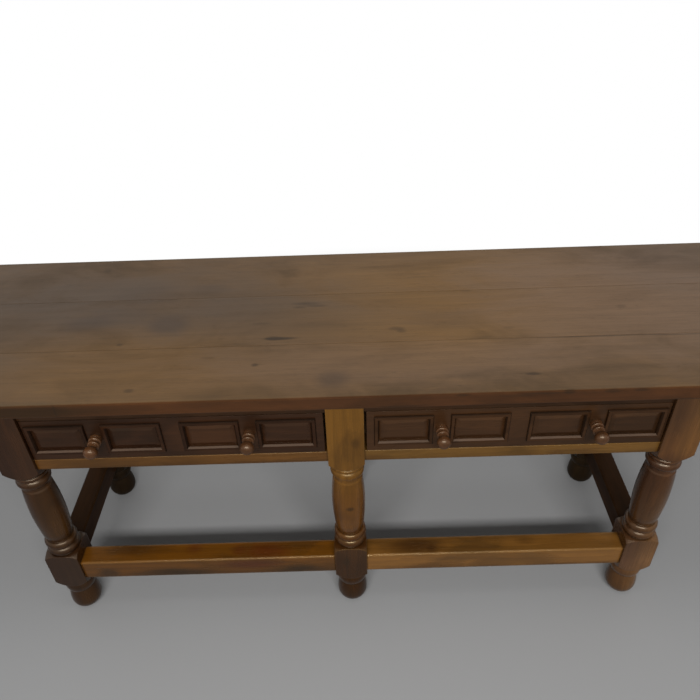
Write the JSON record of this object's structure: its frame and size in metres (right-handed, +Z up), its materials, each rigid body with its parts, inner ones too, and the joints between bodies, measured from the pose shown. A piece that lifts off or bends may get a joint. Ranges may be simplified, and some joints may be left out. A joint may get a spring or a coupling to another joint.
{
  "type": "refectory side table",
  "caption": "Long dark oak refectory side table with turned legs, square blocks, low stretchers and panelled drawers with turned knobs under a plank top.",
  "frame": {"origin": "on the floor under the middle of the table: the bottom centre of the bounding box", "axes": "+X along the length, to the right for someone who faces the drawers; -Y is the front, where the drawers and knobs are; +Z up"},
  "size_m": [1.95, 0.557, 0.78],
  "materials": {
    "top_oak": "waxed, worn, half gloss, grain along the length",
    "dark_oak": "dark stained and polished, half gloss",
    "golden_oak": "stained and polished, rubbed lighter, half gloss",
    "plain_oak": "unpolished, matt",
    "screw_steel": "plain, dull"
  },
  "bodies": {
    "table_frame": {"top_board_front": "top_oak", "top_board_middle": "top_oak", "top_board_back": "top_oak", "leg_front_left": "dark_oak", "leg_front_middle": "golden_oak", "leg_front_right": "dark_oak", "leg_back_left": "dark_oak", "leg_back_middle": "golden_oak", "leg_back_right": "dark_oak", "lower_rail_left": "golden_oak", "lower_rail_right": "golden_oak", "upper_rail_left": "dark_oak", "upper_rail_right": "dark_oak", "end_apron_left": "dark_oak", "end_apron_right": "dark_oak", "back_apron_left": "dark_oak", "back_apron_right": "dark_oak", "centre_divider": "plain_oak", "front_stretcher_left": "golden_oak", "front_stretcher_right": "golden_oak", "back_stretcher_left": "golden_oak", "back_stretcher_right": "golden_oak", "side_stretcher_left": "golden_oak", "side_stretcher_right": "golden_oak", "left_bay_inner_runner": "plain_oak", "left_bay_inner_kicker": "plain_oak", "left_bay_outer_runner": "plain_oak", "left_bay_outer_kicker": "plain_oak", "right_bay_inner_runner": "plain_oak", "right_bay_inner_kicker": "plain_oak", "right_bay_outer_runner": "plain_oak", "right_bay_outer_kicker": "plain_oak", "drawer_stops": "plain_oak", "top_buttons": "plain_oak", "top_screws": "screw_steel"},
    "left_drawer": {"left_drawer_front": "dark_oak", "left_drawer_left_side": "plain_oak", "left_drawer_right_side": "plain_oak", "left_drawer_back": "plain_oak", "left_drawer_bottom": "plain_oak", "left_drawer_left_knob": "dark_oak", "left_drawer_right_knob": "dark_oak", "left_drawer_moulding_1": "dark_oak", "left_drawer_moulding_2": "dark_oak", "left_drawer_moulding_3": "dark_oak", "left_drawer_moulding_4": "dark_oak"},
    "right_drawer": {"right_drawer_front": "dark_oak", "right_drawer_left_side": "plain_oak", "right_drawer_right_side": "plain_oak", "right_drawer_back": "plain_oak", "right_drawer_bottom": "plain_oak", "right_drawer_left_knob": "dark_oak", "right_drawer_right_knob": "dark_oak", "right_drawer_moulding_1": "dark_oak", "right_drawer_moulding_2": "dark_oak", "right_drawer_moulding_3": "dark_oak", "right_drawer_moulding_4": "dark_oak"}
  },
  "joints": [
    {"name": "left_drawer_slide", "type": "slide", "parent": "table_frame", "child": "left_drawer", "axis": [0, -1, 0], "range_m": [0, 0.29]},
    {"name": "right_drawer_slide", "type": "slide", "parent": "table_frame", "child": "right_drawer", "axis": [0, -1, 0], "range_m": [0, 0.29]}
  ]
}
